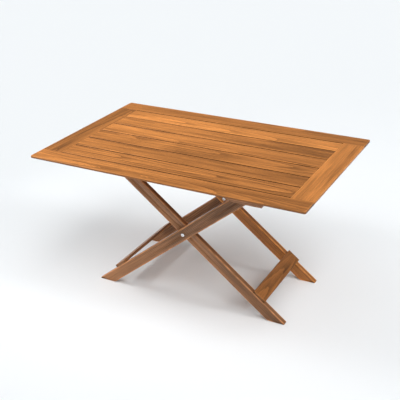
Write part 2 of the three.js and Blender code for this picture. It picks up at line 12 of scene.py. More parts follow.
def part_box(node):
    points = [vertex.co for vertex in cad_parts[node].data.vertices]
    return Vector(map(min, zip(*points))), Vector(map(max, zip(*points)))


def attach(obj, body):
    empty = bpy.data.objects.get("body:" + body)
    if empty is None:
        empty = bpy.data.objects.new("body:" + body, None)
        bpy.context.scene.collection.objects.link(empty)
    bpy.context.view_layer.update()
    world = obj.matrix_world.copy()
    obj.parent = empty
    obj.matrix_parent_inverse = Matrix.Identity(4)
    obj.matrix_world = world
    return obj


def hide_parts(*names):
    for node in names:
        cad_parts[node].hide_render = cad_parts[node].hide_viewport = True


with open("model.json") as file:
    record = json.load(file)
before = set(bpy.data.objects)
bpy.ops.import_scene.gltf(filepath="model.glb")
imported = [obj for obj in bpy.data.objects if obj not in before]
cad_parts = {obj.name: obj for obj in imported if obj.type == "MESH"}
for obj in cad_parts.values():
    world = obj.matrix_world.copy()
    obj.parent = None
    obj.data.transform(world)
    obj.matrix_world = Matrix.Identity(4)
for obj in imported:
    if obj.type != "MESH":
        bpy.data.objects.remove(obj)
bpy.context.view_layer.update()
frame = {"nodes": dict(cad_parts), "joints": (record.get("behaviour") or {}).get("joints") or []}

MM = 0.001

# ---------- sizes ----------

# Top
EDGE_HEIGHT = 9 * MM  # upright part of the outer edge, above the under-bevel
BEVEL_INSET = 40 * MM
BEVEL_EASE = 1.5 * MM  # softens both ends of the bevel
TOP_CORNER = 8 * MM
BOARD_ARRIS = 1.7 * MM
JOINT_ARRIS = 0.5 * MM  # where two boards of the top's frame meet
BATTEN_ARRIS = 1.4 * MM
FACE_MARGIN = 4 * MM  # how far the paler arris, partly rubbed wear and partly painted highlight, reaches in from an arris
PAINTED_EDGE_SHADE = (-0.35, -0.35, -0.2)  # painted shade on the outer edge, less towards its top
FIT = 0.3 * MM  # between two pieces that touch

# Legs and stretchers
LEG_WIDTH = 50.5 * MM
LEG_ARRIS = 2.2 * MM
HEEL_ROUND = 26 * MM  # big round at the back of a foot
TOE_ROUND = 3.2 * MM
LEG_END_ROUND = 7 * MM
ROUND_END = 0.999  # a round leg end's radius, as a share of half the leg's width
STRETCHER_WIDTH = 62 * MM
STRETCHER_THICKNESS = 12 * MM
STRETCHER_TOE_GAP = 126 * MM
STRETCHER_ARRIS = 1.6 * MM
STRETCHER_FACE_ARRIS = STRETCHER_ARRIS * 0.9
HOLE_EASE = 0.5 * MM

# Fittings: holes, bores, shanks, sleeves, sockets and the screw's head are given as radii
PIVOT_HOLE = 5.8 * MM
ROD_HOLE = 6.3 * MM
BOLT_SHANK = 4 * MM
BOLT_HEAD_HEIGHT = 3.5 * MM
BOLT_SOCKET = 2.9 * MM
BOLT_SOCKET_DEPTH = 2.4 * MM
NUT_HEAD_HEIGHT = 2.5 * MM
NUT_SLEEVE = 5.5 * MM
SLEEVE_BORE = 4.3 * MM
SLEEVE_BORE_END = 3 * MM  # how far the bore stops from the head
DRILL_POINT = 0.3 * MM
WASHER_EASE = 0.2 * MM
ROD_EASE = 0.6 * MM
ROD_TAPPING = 2.8 * MM
ROD_TAPPING_DEPTH = 24 * MM
BATTEN_SCREW_HEAD = 4 * MM
BATTEN_SCREW_LENGTH = 28 * MM
BATTEN_SCREW_PROUD = 0.1 * MM
BATTEN_SCREW_ROWS = (49 * MM, 127 * MM, 254 * MM)  # from the table's middle line
RAIL_SCREW_INSET = 12 * MM

# How finely round stretches are cut
ARC_STEPS = 4
BOARD_CORNER_STEPS = 5
LEG_CORNER_STEPS = 9
STRETCHER_CORNER_STEPS = 6
HOLE_SIDES = 32
FITTING_SIDES = 48
ROD_SIDES = 40
SCREW_SIDES = 18
SLIVER = 1e-12  # the smallest triangle kept, in square metres

# Sides of a board, in the order of its levels
RIGHT, LEFT, REAR, FRONT = range(4)
Y_AXIS, Z_AXIS = np.eye(3)[1:]
ALONG_Y = (0, 0, math.pi / 2)


def box(node):
    """Lowest and highest corner of a CAD node as two arrays."""
    low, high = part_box(node)
    return np.array(low), np.array(high)


def middle(node):
    low, high = box(node)
    return (low + high) / 2


RAIL_LOW, RAIL_HIGH = box("rail_front")
UNDER, SURFACE = RAIL_LOW[2], RAIL_HIGH[2]
RAIL_INNER = -RAIL_HIGH[1]
END_INNER = box("end_rail_right")[0][0]

# From flat to standing, one leg frame turns against the other by both legs' slopes together.
JOINTS = {entry["name"]: entry for entry in frame["joints"]}
PIVOT = np.array(JOINTS["inner_fold"]["pos_m"])
HINGE = np.array(JOINTS["outer_fold"]["pos_m"])
FOLD_LOW, FOLD_HIGH = JOINTS["inner_fold"]["range_deg"]
OUTER_ANGLE = math.atan2(HINGE[2] - PIVOT[2], HINGE[0] - PIVOT[0])
INNER_ANGLE = math.radians(FOLD_HIGH - FOLD_LOW) - OUTER_ANGLE
ROD_REACH = math.hypot(*(middle("slide_rod") - PIVOT)[[0, 2]])
HINGE_REACH = math.hypot(HINGE[0] - PIVOT[0], HINGE[2] - PIVOT[2])


# ---------- surfaces ----------


def in_scene(name, data):
    """A new object at the origin that shows the data."""
    obj = bpy.data.objects.new(name, data)
    bpy.context.scene.collection.objects.link(obj)
    return obj


def quads_between(rings, points, wrap=False):
    """Faces of a grid of closed rings: point i of a ring joins point i + 1 and the next ring's two."""
    ring = np.arange(rings if wrap else rings - 1)[:, None]
    at = np.arange(points)[None, :]
    after = (at + 1) % points
    above = (ring + 1) % rings
    return np.stack(
        [ring * points + at, ring * points + after, above * points + after, above * points + at], -1
    ).reshape(-1, 4)


def make_piece(name, verts, faces, wear_and_painted_light=None, sharp_angle=50):
    """A mesh object from whole arrays of corners and a list of face index arrays. Its float attribute on the
    corners is 1 where the wood is paler, partly rubbed wear and partly painted highlight, 0 where it is
    clean and -1 where it takes painted shade."""
    mesh = bpy.data.meshes.new(name)
    mesh.from_pydata(verts, [], [list(map(int, face)) for group in faces for face in group])
    if wear_and_painted_light is not None:
        attribute = mesh.attributes.new("wear_and_painted_light", "FLOAT", "POINT")
        attribute.data.foreach_set("value", np.asarray(wear_and_painted_light, np.float32))
    mesh.validate()
    mesh.shade_smooth()
    mesh.set_sharp_from_angle(angle=math.radians(sharp_angle))
    return in_scene(name, mesh)


def rounded_outline(corners, radii, steps):
    """A closed outline, counterclockwise, with each corner turned into an arc of so many points, as points
    and outward directions. The arc's centre is on the corner's bisector, one radius from both edges, and
    it turns from one edge's outward direction to the next one's."""
    corners = np.asarray(corners, float)
    radii = np.asarray(radii, float)[:, None]
    into = corners - np.roll(corners, 1, 0)
    into /= np.linalg.norm(into, axis=1, keepdims=True)
    out = np.roll(into, -1, 0)
    first = np.arctan2(-into[:, 0], into[:, 1])
    turn = np.mod(np.arctan2(-out[:, 0], out[:, 1]) - first, 2 * np.pi)
    bisector = out - into
    bisector /= np.linalg.norm(bisector, axis=1, keepdims=True)
    centre = corners + bisector * radii / np.cos(turn / 2)[:, None]
    angle = first[:, None] + turn[:, None] * np.linspace(0, 1, steps)[None, :]
    outward = np.stack([np.cos(angle), np.sin(angle)], -1)
    points = centre[:, None, :] + radii[:, None, :] * outward
    return points.reshape(-1, 2), outward.reshape(-1, 2)


def quarter_round(arris):
    """A round arris from its face to its side: the side draws in by arris(1 - sin t) while the level moves
    by arris(1 - cos t), as t goes from nothing to a right angle."""
    t = np.linspace(0, np.pi / 2, ARC_STEPS + 1)
    return arris * (1 - np.sin(t)), arris * (1 - np.cos(t))


def arris_levels(low, high, arris):
    """Levels of a plate from the bottom up, how far its outline draws in at each, and how pale its arris is
    there, partly rubbed wear and partly painted highlight.
    """
    inset, rise = quarter_round(arris)
    rubbed = np.ones(ARC_STEPS + 1)
    margin = min(FACE_MARGIN, (high - low) / 4)
    levels = np.concatenate(
        [[low], low + rise, [low + arris + margin, high - arris - margin], high - rise[::-1], [high]]
    )
    insets = np.concatenate([[arris + FACE_MARGIN], inset, [0, 0], inset[::-1], [arris + FACE_MARGIN]])
    worn_and_painted = np.concatenate([[0], rubbed, [0, 0], rubbed, [0]])
    return levels, insets, worn_and_painted


def gap_levels(low, high, arris):
    """As arris_levels, for a board beside open gaps: up to its top arris its sides carry painted shade, for
    the shade deep in the gaps.
    """
    inset, rise = quarter_round(arris)
    painted_shade = -np.ones(ARC_STEPS + 1)
    levels = np.concatenate([[low], low + rise, [high - 1.2 * arris], high - rise[::-1], [high]])
    insets = np.concatenate([[arris + FACE_MARGIN], inset, [0], inset[::-1], [arris + FACE_MARGIN]])
    worn_and_painted = np.concatenate([[0], painted_shade, [-1], np.linspace(-1, 1, ARC_STEPS + 1), [0]])
    return levels, insets, worn_and_painted


def plain_levels(low, high, arris):
    """Levels of a board whose four sides are upright and whose arrises are quarter rounds."""
    heights, insets, worn_and_painted = arris_levels(low, high, arris)
    return np.column_stack([heights, insets, insets, insets, insets, worn_and_painted])


def slat_levels(low, high):
    """Levels of a slat: open gaps along both sides, tight joints at both ends."""
    heights, insets, worn_and_painted = gap_levels(low, high, BOARD_ARRIS)
    ends = insets * (JOINT_ARRIS / BOARD_ARRIS)
    return np.column_stack([heights, ends, ends, insets, insets, worn_and_painted])


def bevelled_levels(low, high, bevelled, joined):
    """Levels of a board of the top's frame. bevelled sides carry the under-bevel, joined sides have a tight
    joint, and the rest are upright. The outer edge carries a little painted shade below its top arris."""
    edge = high - EDGE_HEIGHT
    ease = BEVEL_EASE
    slope = (edge - low) / BEVEL_INSET
    t = np.linspace(0, np.pi / 2, ARC_STEPS + 1)[1:]
    arc_z = high - BOARD_ARRIS + BOARD_ARRIS * np.sin(t)
    arc_in = BOARD_ARRIS * (1 - np.cos(t))
    face = BOARD_ARRIS + FACE_MARGIN
    below = [low, low, low + ease * slope, edge - ease * slope, edge + ease / 2, high - 2 * BOARD_ARRIS]
    bevel_in = [BEVEL_INSET + FACE_MARGIN + ease, BEVEL_INSET + ease, BEVEL_INSET - ease, ease, 0, 0]
    upright_in = [face, BOARD_ARRIS, BOARD_ARRIS / 3, 0, 0, 0]
    z = np.concatenate([below, [high - BOARD_ARRIS], arc_z, [high]])
    bevel = np.concatenate([bevel_in, [0], arc_in, [face]])
    upright = np.concatenate([upright_in, [0], arc_in, [face]])
    worn_and_painted = np.concatenate([[0, 0, 0], PAINTED_EDGE_SHADE, np.linspace(0, 1, ARC_STEPS + 1), [0]])
    sides = [
        bevel if index in bevelled else upright * (JOINT_ARRIS / BOARD_ARRIS if index in joined else 1)
        for index in range(4)
    ]
    return np.column_stack([z, *sides, worn_and_painted])


def stacked_board(name, low, high, levels, corners, painted_shade=None):
    """A board as a stack of rectangles with round corners. levels holds, from the bottom up, a height, how
    far the +X, -X, +Y and -Y sides draw in there, and the mark for a paler arris (above 0, partly rubbed
    wear and partly painted highlight) or painted shade (below 0). Corner order: ++, -+, --, +-. One given
    side takes painted shade, a mark of -1, up to its top arris."""
    levels = np.asarray(levels, float)
    z, inset, worn_and_painted = levels[:, 0], levels[:, 1:5], levels[:, 5]
    sign = np.array([[1, 1], [-1, 1], [-1, -1], [1, -1]])
    x = np.stack([high[0] - inset[:, 0], low[0] + inset[:, 1]], 1)[:, [0, 1, 1, 0]]
    y = np.stack([high[1] - inset[:, 2], low[1] + inset[:, 3]], 1)[:, [0, 0, 1, 1]]
    radius = np.asarray(corners, float)
    quarter = np.linspace(0, np.pi / 2, BOARD_CORNER_STEPS)
    angle = np.arange(4)[:, None] * np.pi / 2 + quarter[None, :]
    px = x[:, :, None] - sign[:, 0, None] * radius[:, None] + radius[:, None] * np.cos(angle)
    py = y[:, :, None] - sign[:, 1, None] * radius[:, None] + radius[:, None] * np.sin(angle)
    pz = np.broadcast_to(z[:, None, None], px.shape)
    verts = np.stack([px, py, pz], -1).reshape(-1, 3)
    count = 4 * BOARD_CORNER_STEPS
    ring = np.arange(count)
    faces = [
        quads_between(len(z), count),
        ring[None, ::-1],
        (ring + (len(z) - 1) * count)[None],
    ]
    wear_and_painted_light = np.repeat(worn_and_painted[:, None], count, 1)
    # Painted shade on the wall of the given side, below its top arris.
    if painted_shade is not None:
        wall = high[1] if painted_shade == REAR else low[1]
        on_wall = np.abs(py.reshape(len(z), count) - wall) < 0.6 * BOARD_ARRIS
        under_arris = (z > low[2]) & (z < high[2] - 0.35 * BOARD_ARRIS)
        wear_and_painted_light = np.where(on_wall & under_arris[:, None], -1.0, wear_and_painted_light)
    return make_piece(name, verts, faces, wear_and_painted_light.reshape(-1))


def flat_cap(loops):
    """Triangles that fill the first loop and leave the others open, all counterclockwise."""
    cap = np.array(tessellate_polygon([[Vector((*point, 0)) for point in loop] for loop in loops]))
    a, b, c = (np.concatenate(loops)[cap[:, i]] for i in range(3))
    area = (b[:, 0] - a[:, 0]) * (c[:, 1] - a[:, 1]) - (b[:, 1] - a[:, 1]) * (c[:, 0] - a[:, 0])
    cap = np.where((area > 0)[:, None], cap, cap[:, ::-1])
    return cap[np.abs(area) > SLIVER]


def plate(name, outline, low, high, arris, along, across, holes=()):
    """A flat board of a leg frame: an outline in (along, across) from the middle pivot, carried on in Y
    from low to high with round arrises. Each round hole is a wall that opens a little at both faces."""
    points, outward = outline
    levels, insets, worn_and_painted = arris_levels(low, high, arris)
    count = len(points)
    flat = points[None] - outward[None] * insets[:, None, None]
    local = np.concatenate([flat, np.broadcast_to(levels[:, None, None], flat.shape[:2] + (1,))], -1)
    verts = [local.reshape(-1, 3)]
    wear_and_painted_light = [np.repeat(worn_and_painted, count)]
    faces = [quads_between(len(levels), count)]
    loops = [flat[0]]
    bottom = [np.arange(count)]
    top = [(len(levels) - 1) * count + np.arange(count)]
    start = len(levels) * count
    theta = np.linspace(0, 2 * np.pi, HOLE_SIDES, endpoint=False)
    for x, y, radius in holes:
        radii = np.array([radius + HOLE_EASE, radius, radius, radius + HOLE_EASE])
        depth = np.array([low, low + HOLE_EASE, high - HOLE_EASE, high])
        ring = np.stack([x + radii[:, None] * np.cos(theta), y + radii[:, None] * np.sin(theta)], -1)
        wall = np.concatenate([ring, np.broadcast_to(depth[:, None, None], ring.shape[:2] + (1,))], -1)
        verts.append(wall.reshape(-1, 3))
        wear_and_painted_light.append(np.zeros(len(depth) * HOLE_SIDES))
        faces.append(quads_between(len(depth), HOLE_SIDES)[:, ::-1] + start)
        loops.append(ring[0])
        bottom.append(start + np.arange(HOLE_SIDES))
        top.append(start + (len(depth) - 1) * HOLE_SIDES + np.arange(HOLE_SIDES))
        start += len(depth) * HOLE_SIDES
    cap = flat_cap(loops)
    faces += [np.concatenate(bottom)[cap][:, ::-1], np.concatenate(top)[cap]]
    axes = np.array([along, across, Y_AXIS], float)
    if np.linalg.det(axes) < 0:
        faces = [group[:, ::-1] for group in faces]
    world = np.concatenate(verts) @ axes + np.array([PIVOT[0], 0, PIVOT[2]])
    return make_piece(name, world, faces, np.concatenate(wear_and_painted_light))


def turned(name, centre, axis, profile, sides, closed=False):
    """A round piece: rings of (radius, distance along the axis, corners) round an axis. corners is how
    many flats a ring has, or 0 for a circle; a flat ring's radius is divided by the cosine from its flat."""
    profile = np.asarray(profile, float)
    theta = np.linspace(0, 2 * np.pi, sides, endpoint=False)
    corners = profile[:, 2][:, None]
    half = np.pi / np.where(corners > 0, corners, 1)
    from_flat = np.mod(theta[None, :] + half, 2 * half) - half
    radius = profile[:, 0][:, None] / np.cos(np.where(corners > 0, from_flat, 0))
    axis = np.asarray(axis, float)
    side = np.array([axis[1], axis[2], axis[0]])
    side -= axis * (side @ axis)
    side /= np.linalg.norm(side)
    other = np.cross(axis, side)
    verts = (
        np.asarray(centre, float)
        + profile[:, 1][:, None, None] * axis
        + (radius * np.cos(theta))[..., None] * side
        + (radius * np.sin(theta))[..., None] * other
    ).reshape(-1, 3)
    ring = np.arange(sides)
    faces = [quads_between(len(profile), sides, closed)]
    if not closed:
        faces += [ring[None, ::-1], (ring + (len(profile) - 1) * sides)[None]]
    return make_piece(name, verts, faces, sharp_angle=40)


# ---------- finishes ----------


class Finish:
    """A material's node tree, with each node added in one line."""

    def __init__(self, name):
        self.material = bpy.data.materials.new(name)
        self.material.use_nodes = True
        self.tree = self.material.node_tree
        self.shader = self.tree.nodes["Principled BSDF"]

    def add(self, kind, inputs=None, **settings):
        node = self.tree.nodes.new(kind)
        for key, value in settings.items():
            setattr(node, key, value)
        for key, value in (inputs or {}).items():
            self.put(node.inputs[key], value)
        return node

    def put(self, socket, value):
        if isinstance(value, bpy.types.NodeSocket):
            self.tree.links.new(value, socket)
        else:
            socket.default_value = value

    def maths(self, operation, a, b=0.0, c=0.0, clamp=False):
        node = self.add("ShaderNodeMath", operation=operation, use_clamp=clamp)
        for socket, value in zip(node.inputs, (a, b, c)):
            self.put(socket, value)
        return node.outputs[0]

    def swing(self, value, amount, onto):
        """Adds a 0 to 1 pattern to another value as a change either way."""
        return self.maths("MULTIPLY_ADD", self.maths("SUBTRACT", value, 0.5), amount, onto)

    def vector(self, operation, a, b=None, scale=None):
        node = self.add("ShaderNodeVectorMath", operation=operation)
        self.put(node.inputs[0], a)
        if b is not None:
            self.put(node.inputs[1], b)
        if scale is not None:
            self.put(node.inputs["Scale"], scale)
        return node.outputs["Value" if operation == "DOT_PRODUCT" else "Vector"]

    def spread(self, vector, scale, location=(0, 0, 0), rotation=(0, 0, 0)):
        """Stretches and moves a pattern's coordinates."""
        return self.add(
            "ShaderNodeMapping",
            {"Vector": vector, "Location": location, "Rotation": rotation, "Scale": scale},
        ).outputs[0]

    def noise(self, vector, detail=2.0, roughness=0.5, colour=False, distortion=0.0):
        """Cloudy noise at the coordinates' own scale."""
        node = self.add(
            "ShaderNodeTexNoise",
            {"Vector": vector, "Scale": 1.0, "Detail": detail, "Roughness": roughness,
             "Distortion": distortion},
        )
        return node.outputs["Color" if colour else "Fac"]

    def band(self, value, low, high, to_low=0.0, to_high=1.0):
        """Takes the stretch from low to high smoothly to the stretch from to_low to to_high."""
        return self.add(
            "ShaderNodeMapRange",
            {"Value": value, "From Min": low, "From Max": high, "To Min": to_low, "To Max": to_high},
            interpolation_type="SMOOTHSTEP",
        ).outputs[0]

    def blend(self, factor, a, b):
        node = self.add("ShaderNodeMix", data_type="RGBA", blend_type="MIX", clamp_factor=True)
        self.put(node.inputs["Factor"], factor)
        for key, value in (("A", a), ("B", b)):
            socket = [s for s in node.inputs if s.name == key and s.type == "RGBA"][0]
            self.put(socket, value if isinstance(value, bpy.types.NodeSocket) else (*value, 1.0))
        return [s for s in node.outputs if s.type == "RGBA"][0]

    def ramp(self, factor, stops):
        node = self.add("ShaderNodeValToRGB", {"Fac": factor})
        elements = node.color_ramp.elements
        while len(elements) < len(stops):
            elements.new(0.5)
        for element, (position, colour) in zip(elements, stops):
            element.position = position
            element.color = (*colour, 1.0)
        return node.outputs["Color"]

    def done(self, colour, roughness, bump):
        """Gives the shader its colour, roughness and relief, and hands over the material."""
        self.put(self.shader.inputs["Base Color"], colour)
        self.put(self.shader.inputs["Roughness"], roughness)
        self.put(self.shader.inputs["Normal"], bump.outputs[0])
        return self.material


def shade(colour, amount):
    """A colour made darker or lighter by one factor."""
    return tuple(min(1.0, c * amount) for c in colour)


# How often each of teak's patterns changes in a metre: along the grain, then twice across it.
BEND = (1.5, 6, 6)
BROAD_PATCHES = (3.2, 11, 11)
PLUMES = (1.3, 60, 60)
MINERAL_STREAKS = (1.6, 42, 42)
FIBRES = (4.5, 210, 210)
PORES = (70, 1500, 1500)
UNEVEN_RUB_AND_HIGHLIGHT = (22, 60, 60)

SEED_SHIFT = (7.31, 3.17, 5.53)  # moves each board's patterns apart from the others'
BEND_REACH = 0.022  # metres across which the grain wanders
RING_TILT = 0.03  # how far the growth rings lean out of the board's length, in radians
# Near-black colour of the painted shade on marked sides: the walls of the gaps in the top, and a little on
# its outer edge.
PAINTED_GAP_SHADE = (0.010, 0.004, 0.002)


def teak(
    name, centre, tone, seed, turn=(0, 0, 0), pith=(0.05, -0.06), rings=52, contrast=1.0, streaks=0.35,
    fade=None, patchy=0.5, gloss=0.42, rub=0.4,
):
    """Oiled teak. Growth rings lie round the tree's middle, off to one side of the board, so they show as
    long arches on a face and as arcs on an end. Fibres, pores and darker mineral streaks run along the
    board, and broad patches change its tone. Its arrises are paler, partly rubbed wear and partly painted
    highlight, and marked sides take a near-black painted shade. A fade is a stretch along the board, and how
    much darker the wood is past it; on the legs the fade is painted shade."""
    f = Finish(name)
    place = f.add("ShaderNodeTexCoord")
    local = f.add(
        "ShaderNodeMapping", {"Vector": place.outputs["Object"], "Location": centre, "Rotation": turn},
        vector_type="TEXTURE",
    ).outputs[0]
    apart = tuple(seed * shift for shift in SEED_SHIFT)
    bend = f.noise(f.spread(local, BEND, apart), detail=2, roughness=0.55, colour=True)
    bend = f.vector("SCALE", f.vector("SUBTRACT", bend, (0.5, 0.5, 0.5)), scale=BEND_REACH)
    bent = f.vector("ADD", local, bend)
    ring = f.add(
        "ShaderNodeTexWave",
        {"Vector": f.spread(bent, (1, 1, 1), (0, *pith), (0, RING_TILT * 0.6, RING_TILT)), "Scale": rings,
         "Distortion": 1.4, "Detail": 3.0, "Detail Scale": 1.2, "Detail Roughness": 0.55,
         "Phase Offset": seed * 1.7},
        wave_type="RINGS", rings_direction="X", wave_profile="SAW",
    ).outputs["Fac"]
    fibre = f.noise(f.spread(bent, FIBRES, apart), detail=7, roughness=0.74)
    plumes = f.noise(f.spread(bent, PLUMES, (seed, seed * 0.7, 0)), detail=4, roughness=0.6)
    pores = f.noise(f.spread(bent, PORES, apart), detail=1.5, roughness=0.5)
    pores = f.band(pores, 0.60, 0.72)
    broad = f.noise(f.spread(local, BROAD_PATCHES, apart), detail=3, roughness=0.6, distortion=0.4)
    streak = f.noise(f.spread(bent, MINERAL_STREAKS, (seed * 2.9, 0, seed)), detail=6, roughness=0.72)
    streak = f.band(streak, 0.52, 0.70)

    grain = f.swing(fibre, 1.35 * contrast, onto=0.5)
    grain = f.swing(ring, 0.42 * contrast, onto=grain)
    grain = f.swing(plumes, 0.85 * contrast, onto=grain)
    grain = f.swing(broad, 1.1 * patchy, onto=grain)
    if fade:
        x = f.add("ShaderNodeSeparateXYZ", {"Vector": bent}).outputs["X"]
        fade_from, fade_to, darker = fade
        grain = f.maths("SUBTRACT", grain, f.band(x, fade_from, fade_to, 0.0, darker))
    deep, pale = shade(tone, 0.42), shade(tone, 1.42)
    stops = [(0.0, shade(deep, 0.8)), (0.3, shade(tone, 0.66)), (0.52, tone), (0.82, pale),
             (1.0, shade(pale, 1.2))]
    colour = f.ramp(grain, stops)
    dark = (tone[0] * 0.30, tone[1] * 0.24, tone[2] * 0.24)
    colour = f.blend(f.maths("MULTIPLY", streak, streaks), colour, dark)
    colour = f.blend(f.maths("MULTIPLY", pores, 0.55), colour, shade(tone, 0.30))

    normal = f.vector("ABSOLUTE", place.outputs["Normal"])
    end = Matrix.Rotation(turn[2], 3, "Z") @ Matrix.Rotation(turn[1], 3, "Y") @ Vector((1, 0, 0))
    end_grain = f.band(f.vector("DOT_PRODUCT", normal, tuple(abs(c) for c in end)), 0.8, 0.95)
    colour = f.blend(f.maths("MULTIPLY", end_grain, 0.45), colour, shade(tone, 0.45))

    wear_and_painted_light = f.add("ShaderNodeAttribute", attribute_name="wear_and_painted_light").outputs["Fac"]
    # Arrises marked above 0 grow paler, unevenly: partly rubbed wear, partly a painted highlight.
    uneven = f.band(f.noise(f.spread(local, UNEVEN_RUB_AND_HIGHLIGHT, apart), detail=3), 0.35, 0.65, 0.35, 1.0)
    rubbed = f.maths("MULTIPLY", f.maths("MAXIMUM", wear_and_painted_light, 0.0), uneven)
    # Sides marked below 0 take a near-black painted shade, for the shade in the gaps and on the outer edge.
    painted_shade_amount = f.maths("MULTIPLY", f.maths("MAXIMUM", f.maths("MULTIPLY", wear_and_painted_light, -1.0), 0.0), 0.93)
    colour = f.blend(f.maths("MULTIPLY", rubbed, rub), colour, shade(pale, 1.5))
    colour = f.blend(painted_shade_amount, colour, PAINTED_GAP_SHADE)

    rough = f.maths("MULTIPLY_ADD", fibre, 0.22, gloss - 0.11)
    rough = f.maths("MULTIPLY_ADD", pores, 0.15, rough)
    rough = f.maths("MULTIPLY_ADD", rubbed, -0.16, rough, clamp=True)
    height = f.maths("MULTIPLY_ADD", pores, -0.8, fibre)
    height = f.maths("MULTIPLY_ADD", ring, 0.25, height)
    bump = f.add("ShaderNodeBump", {"Strength": 0.30, "Distance": 0.4 * MM, "Height": height})
    f.shader.inputs["Specular IOR Level"].default_value = 0.30
    return f.done(colour, rough, bump)


TURNING_MARKS = (1800, 5200, 1800)
SMEARS = (90, 90, 90)


def steel(name, tone, gloss, brushed):
    """Stainless steel: fine turning marks and faint smears over a bright metal."""
    f = Finish(name)
    place = f.add("ShaderNodeTexCoord").outputs["Object"]
    marks = f.noise(f.spread(place, TURNING_MARKS), detail=3, roughness=0.6)
    smear = f.noise(f.spread(place, SMEARS), detail=3, roughness=0.6)
    colour = f.ramp(smear, [(0.25, shade(tone, 0.82)), (0.75, shade(tone, 1.08))])
    rough = f.maths("MULTIPLY_ADD", smear, 0.16, gloss - 0.08)
    rough = f.maths("MULTIPLY_ADD", marks, brushed, rough, clamp=True)
    bump = f.add("ShaderNodeBump", {"Strength": 0.12, "Distance": 0.05 * MM, "Height": marks})
    f.shader.inputs["Metallic"].default_value = 1.0
    return f.done(colour, rough, bump)


POLISHED = steel("polished stainless steel", (0.80, 0.80, 0.81), gloss=0.16, brushed=0.06)
SATIN = steel("satin stainless steel", (0.66, 0.66, 0.67), gloss=0.30, brushed=0.16)

# Two woods: the oiled top, and the duller, browner legs. Each board is a shade of one of them.
TEAK = (0.42, 0.16, 0.04)
SMOKED_TEAK = (0.38, 0.17, 0.07)

# Under the top: the battens, the blocks the legs turn and slide in, and the dowels.
UNDERFRAME_TEAK = (0.36, 0.145, 0.052)
BLOCK_TEAK = (0.40, 0.19, 0.09)
BEECH = (0.62, 0.40, 0.22)


def finish(obj, material):
    obj.data.materials.clear()
    obj.data.materials.append(material)
    return obj


def stand_in(obj, node, body, material):
    """The finished piece takes its CAD node's place and body, and gets its material."""
    finish(obj, material)
    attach(obj, body)
    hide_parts(node)


def stand_in_teak(board, node, body, slot, low, high, **look):
    """As stand_in, in teak whose patterns are centred between the board's low and high corners."""
    stand_in(board, node, body, teak("teak " + node, tuple((low + high) / 2), **look))


# ---------- top ----------

RAILS = {
    "rail_front": dict(tone=TEAK, seed=1, pith=(0.03, -0.09), fade=(0.25, 0.60, 0.22)),
    "rail_rear": dict(tone=shade(TEAK, 0.9), seed=2, pith=(-0.04, -0.05)),
}
END_RAILS = {
    "end_rail_left": dict(tone=shade(TEAK, 0.7), seed=3, pith=(0.02, -0.08)),
    "end_rail_right": dict(tone=shade(TEAK, 1.25), seed=4, pith=(0.09, -0.05), rings=70),
}
SLATS = {
    "slat_1": dict(tone=shade(TEAK, 1.4), seed=11, pith=(0.02, -0.07)),
    "slat_2": dict(tone=TEAK, seed=12, pith=(-0.05, -0.05), contrast=1.45, fade=(0.0, 0.5, 0.18)),
    "slat_3": dict(tone=shade(TEAK, 1.15), seed=13, pith=(0.04, -0.06)),
    "slat_4": dict(tone=shade(TEAK, 0.95), seed=14, pith=(-0.02, -0.09), streaks=0.5, patchy=0.8),
    "slat_5": dict(tone=shade(TEAK, 0.85), seed=15, pith=(0.06, -0.05), contrast=1.45),
    "slat_6": dict(tone=shade(TEAK, 0.95), seed=16, pith=(0.0, -0.08), contrast=1.45),
}
BATTEN_SEEDS = {"left": 31, "middle": 32, "right": 33}
BLOCK_SEEDS = {
    "hinge_block_front": 41,
    "hinge_block_rear": 42,
    "slide_block_front": 43,
    "slide_block_rear": 44,
}


def finish_rail(node, look):
    """A long rail: bevelled under its outer side and both ends, with painted shade on its inner side, along
    the gap.
    """
    low, high = box(node)
    inner, outer = (REAR, FRONT) if node.endswith("front") else (FRONT, REAR)
    corners = [TOP_CORNER if (outer == REAR) == (i < 2) else JOINT_ARRIS for i in range(4)]
    levels = bevelled_levels(UNDER, SURFACE, (RIGHT, LEFT, outer), (inner,))
    board = stacked_board(node + "_board", low, high, levels, corners, painted_shade=inner)
    stand_in_teak(board, node, "top", "teak_rails", low, high, **look)


def finish_end_rail(node, look):
    low, high = box(node)
    low[1], high[1] = FIT - RAIL_INNER, RAIL_INNER - FIT
    outer = RIGHT if node.endswith("right") else LEFT
    levels = bevelled_levels(UNDER, SURFACE, (outer,), (FRONT, REAR))
    board = stacked_board(node + "_board", low, high, levels, (JOINT_ARRIS,) * 4)
    stand_in_teak(board, node, "top", "teak_rails", low, high, turn=ALONG_Y, **look)


def finish_slat(node, look):
    low, high = box(node)
    low[0], high[0] = FIT - END_INNER, END_INNER - FIT
    board = stacked_board(node + "_board", low, high, slat_levels(UNDER, SURFACE), (JOINT_ARRIS,) * 4)
    stand_in_teak(board, node, "top", "teak_slats", low, high, **look)


def finish_top():
    for node, look in RAILS.items():
        finish_rail(node, look)
    for node, look in END_RAILS.items():
        finish_end_rail(node, look)
    for node, look in SLATS.items():
        finish_slat(node, look)


def batten_screw_places(low, high):
    """One screw a slat and one a long rail, clear of the blocks."""
    reach = [*BATTEN_SCREW_ROWS, RAIL_INNER + RAIL_SCREW_INSET]
    x = (low[0] + high[0]) / 2
    return [(x, side * y) for side in (-1, 1) for y in reach]


